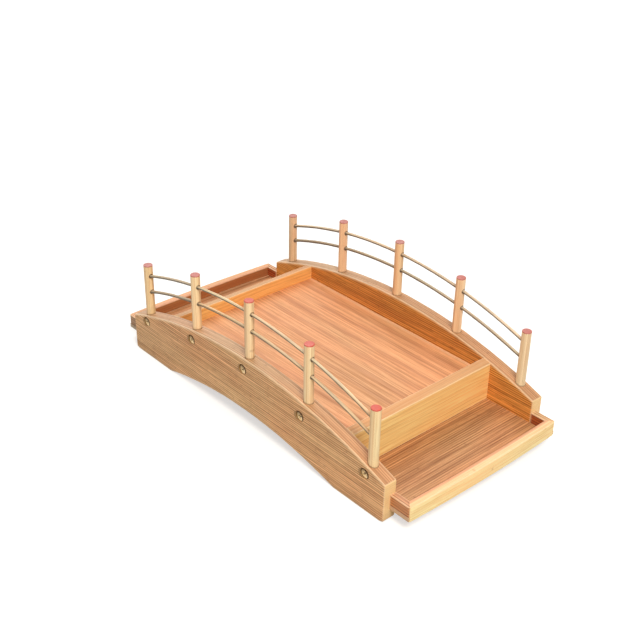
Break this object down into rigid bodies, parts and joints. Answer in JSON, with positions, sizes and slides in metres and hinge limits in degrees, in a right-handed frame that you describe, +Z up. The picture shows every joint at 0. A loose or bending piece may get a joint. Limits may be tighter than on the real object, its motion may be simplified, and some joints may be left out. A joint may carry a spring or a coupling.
{
  "type": "sushi serving bridge",
  "caption": "Arched wooden serving bridge with a sunken deck, lower end trays, and posts with bent rails along both sides.",
  "frame": {"origin": "on the table under the middle of the bridge", "axes": "+X along the bridge, +Y across it to the far side, +Z up"},
  "size_m": [0.454, 0.22, 0.142],
  "materials": {
    "bamboo_board": "satin oil over fine straight grain",
    "pale_bamboo": "satin oil over fine straight grain",
    "post_bamboo": "satin, tops painted pink-red",
    "rail_bamboo": "satin",
    "dowel_wood": "bare",
    "screw_brass": "aged"
  },
  "bodies": {
    "root": {"side_panel_near": "bamboo_board", "side_panel_far": "bamboo_board", "deck_board": "bamboo_board", "tray_floor_left": "bamboo_board", "tray_floor_right": "bamboo_board", "tray_side_near_left": "bamboo_board", "tray_side_near_right": "bamboo_board", "tray_side_far_left": "bamboo_board", "tray_side_far_right": "bamboo_board", "riser_left": "pale_bamboo", "riser_right": "pale_bamboo", "tray_end_left": "pale_bamboo", "tray_end_right": "pale_bamboo", "post_near_1": "post_bamboo", "post_near_2": "post_bamboo", "post_near_3": "post_bamboo", "post_near_4": "post_bamboo", "post_near_5": "post_bamboo", "post_far_1": "post_bamboo", "post_far_2": "post_bamboo", "post_far_3": "post_bamboo", "post_far_4": "post_bamboo", "post_far_5": "post_bamboo", "rail_near_upper": "rail_bamboo", "rail_near_lower": "rail_bamboo", "rail_far_upper": "rail_bamboo", "rail_far_lower": "rail_bamboo", "riser_dowels": "dowel_wood", "screws_near": "screw_brass", "screws_far": "screw_brass"}
  },
  "joints": []
}
